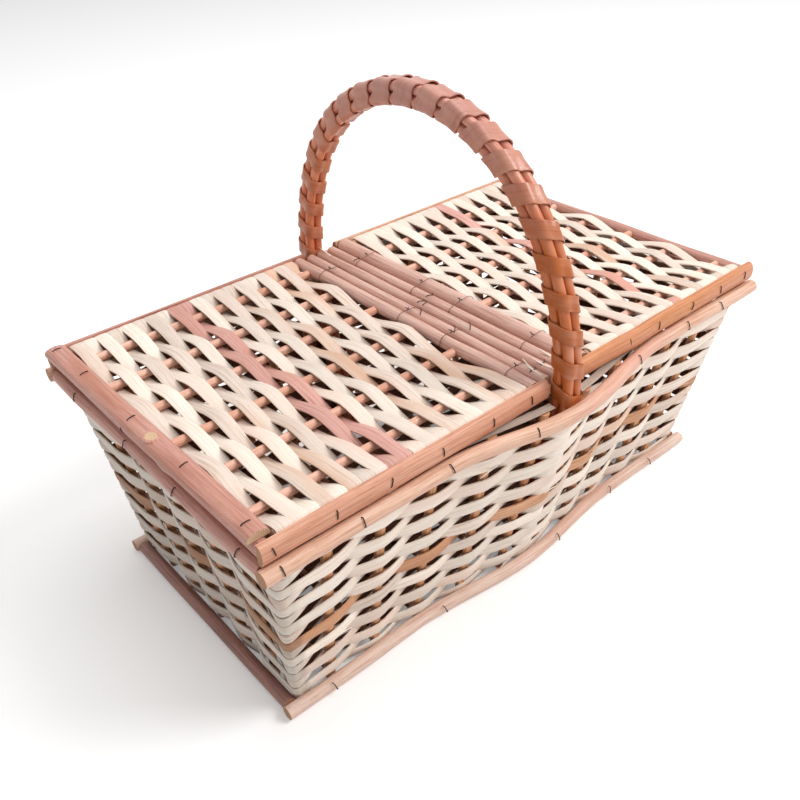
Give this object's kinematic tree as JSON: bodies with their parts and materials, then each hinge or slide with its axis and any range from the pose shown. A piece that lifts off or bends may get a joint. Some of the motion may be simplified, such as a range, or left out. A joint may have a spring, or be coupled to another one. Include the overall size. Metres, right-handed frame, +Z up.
{
  "type": "picnic basket",
  "caption": "Woven split-willow picnic basket, tapered body, fixed bound arch handle over a centre bar, and two lids hinged at the bar that lift to the handle.",
  "frame": {"origin": "centre of the underside of the base, on the surface that the basket stands on", "axes": "+X along the basket from the left lid to the right lid, +Y from the front long wall to the back one, +Z up"},
  "size_m": [0.42, 0.2812, 0.3097],
  "materials": {
    "willow_strip": "peeled split willow, dry and matt",
    "stake": "brown split rod, matt",
    "pink_cane": "pinkish peeled rod, satin",
    "rim_cane": "peeled rod, satin",
    "base_cane": "peeled rod, matt",
    "handle_cane": "peeled rod, satin",
    "cane_binding": "split cane, glossy skin side out",
    "wire": "dark oxidised iron wire"
  },
  "bodies": {
    "basket": {"back_base_rod": "base_cane", "back_inner_rim_rod": "rim_cane", "back_rim_rod": "rim_cane", "back_wall_stakes": "stake", "back_wall_weave": "willow_strip", "centre_bar_lath": "pink_cane", "centre_bar_rods": "pink_cane", "corner_posts": "stake", "floor_stakes": "stake", "floor_weave": "willow_strip", "front_base_rod": "base_cane", "front_inner_rim_rod": "rim_cane", "front_rim_rod": "rim_cane", "front_wall_stakes": "stake", "front_wall_weave": "willow_strip", "handle_binding": "cane_binding", "handle_rod_inner_left": "handle_cane", "handle_rod_inner_right": "handle_cane", "handle_rod_outer_left": "handle_cane", "handle_rod_outer_right": "handle_cane", "left_base_rod": "base_cane", "left_hinge_ties": "wire", "left_inner_rim_rod": "rim_cane", "left_rim_rod": "rim_cane", "left_wall_stakes": "stake", "left_wall_weave": "willow_strip", "right_base_rod": "base_cane", "right_hinge_ties": "wire", "right_inner_rim_rod": "rim_cane", "right_rim_rod": "rim_cane", "right_wall_stakes": "stake", "right_wall_weave": "willow_strip"},
    "left_lid": {"left_lid_back_facing": "rim_cane", "left_lid_back_rod": "pink_cane", "left_lid_end_rod": "pink_cane", "left_lid_front_facing": "rim_cane", "left_lid_front_rod": "pink_cane", "left_lid_hinge_rod": "pink_cane", "left_lid_stakes": "stake", "left_lid_top_lath": "pink_cane", "left_lid_weave": "willow_strip"},
    "right_lid": {"right_lid_back_facing": "rim_cane", "right_lid_back_rod": "pink_cane", "right_lid_end_rod": "pink_cane", "right_lid_front_facing": "rim_cane", "right_lid_front_rod": "pink_cane", "right_lid_hinge_rod": "pink_cane", "right_lid_stakes": "stake", "right_lid_weave": "willow_strip"}
  },
  "joints": [
    {"name": "left_lid_hinge", "type": "hinge", "parent": "basket", "child": "left_lid", "pos_m": [-0.0153, 0, 0.1595], "axis": [0, 1, 0], "range_deg": [0, 91]},
    {"name": "right_lid_hinge", "type": "hinge", "parent": "basket", "child": "right_lid", "pos_m": [0.027, 0, 0.1595], "axis": [0, -1, 0], "range_deg": [0, 92]}
  ]
}
